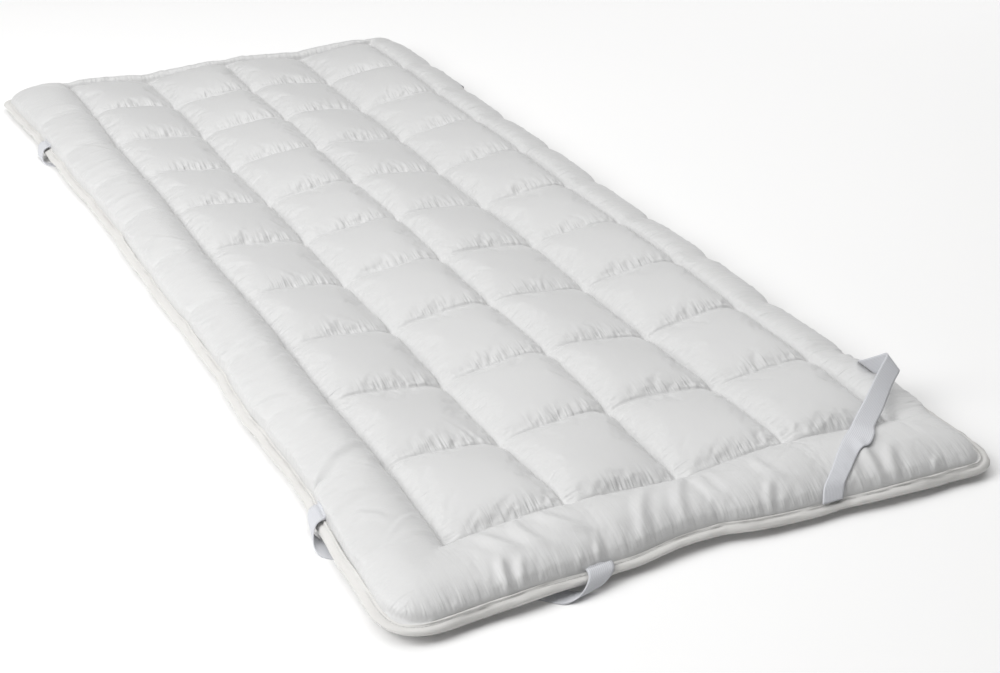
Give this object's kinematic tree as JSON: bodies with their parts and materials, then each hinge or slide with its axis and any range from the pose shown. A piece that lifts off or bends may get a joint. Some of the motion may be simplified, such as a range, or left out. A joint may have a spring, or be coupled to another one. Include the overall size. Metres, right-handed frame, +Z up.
{
  "type": "mattress pad",
  "caption": "Quilted single-bed mattress pad lying flat, with a filled border, a bound edge and an elastic strap at each corner, one of them thrown up over its corner.",
  "frame": {"origin": "on the surface the pad lies on, under the middle of its outline", "axes": "+X across the pad's width, +Y along its length towards the end with the narrow border, +Z up"},
  "size_m": [0.8717, 1.9944, 0.0794],
  "materials": {
    "pad_cloth": "fine white cotton with a slight sheen",
    "binding_tape": "matt off-white tape",
    "strap_elastic": "matt cool grey-white ribbed elastic"
  },
  "bodies": {
    "root": {"quilted_pad": "pad_cloth", "edge_binding": "binding_tape", "strap_front_left": "strap_elastic", "strap_back_left": "strap_elastic", "strap_back_right": "strap_elastic", "strap_front_right": "strap_elastic"}
  },
  "joints": []
}
